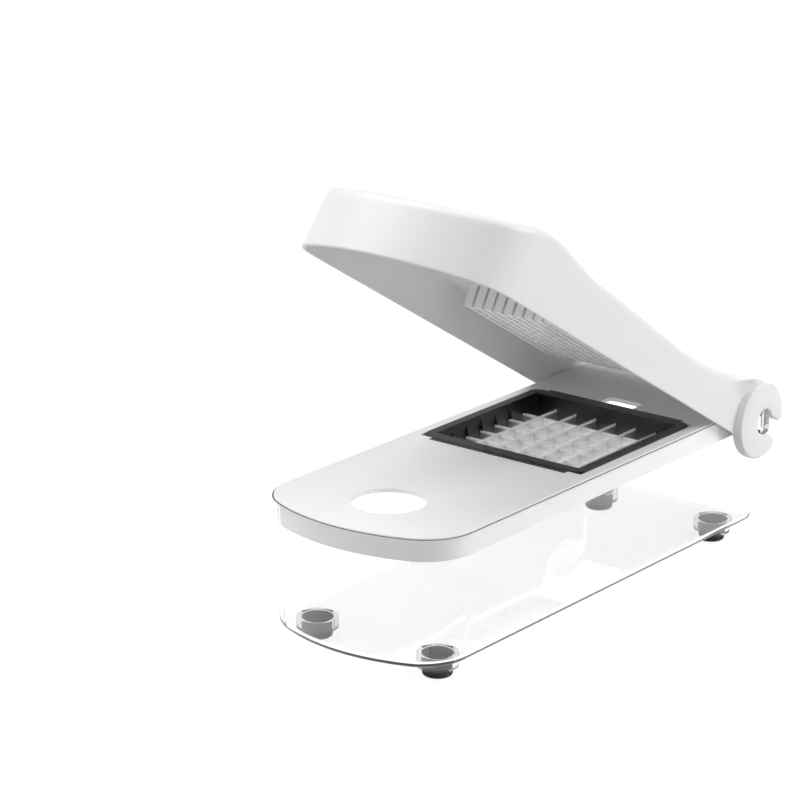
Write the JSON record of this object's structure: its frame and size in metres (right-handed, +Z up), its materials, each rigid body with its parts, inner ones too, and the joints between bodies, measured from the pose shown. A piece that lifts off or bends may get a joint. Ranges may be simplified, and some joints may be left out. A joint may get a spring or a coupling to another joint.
{
  "type": "vegetable dicer",
  "caption": "Countertop vegetable dicer: clear catch box with a white deck, a removable blade grid and a hinged lid whose toothed pusher presses food through the blades.",
  "frame": {"origin": "on the surface the dicer stands on, below the middle of its bounding box with the lid standing open", "axes": "+Z up, +X across the box, +Y from the bowed front towards the hinge"},
  "size_m": [0.128, 0.3033, 0.2281],
  "materials": {
    "clear_plastic": "clear injection-moulded plastic, polished",
    "white_plastic": "white moulded plastic, satin",
    "pusher_plastic": "white moulded plastic, slightly translucent",
    "black_plastic": "black moulded plastic, fine satin grain",
    "blade_steel": "stainless strip, ground edge",
    "rubber": "black moulded rubber"
  },
  "bodies": {
    "base": {"container": "clear_plastic", "deck": "white_plastic", "front_left_foot": "rubber", "front_right_foot": "rubber", "rear_left_foot": "rubber", "rear_right_foot": "rubber", "insert_frame": "black_plastic", "insert_retainer": "black_plastic", "cross_blade_1": "blade_steel", "cross_blade_2": "blade_steel", "cross_blade_3": "blade_steel", "cross_blade_4": "blade_steel", "cross_blade_5": "blade_steel", "cross_blade_6": "blade_steel", "long_blade_1": "blade_steel", "long_blade_2": "blade_steel", "long_blade_3": "blade_steel", "long_blade_4": "blade_steel", "long_blade_5": "blade_steel", "long_blade_6": "blade_steel"},
    "lid": {"lid": "white_plastic", "pusher_grid": "pusher_plastic"}
  },
  "joints": [
    {"name": "lid_hinge", "type": "hinge", "parent": "base", "child": "lid", "pos_m": [0, 0.1342, 0.0697], "axis": [-1, 0, 0], "range_deg": [-30.34, 80]}
  ]
}
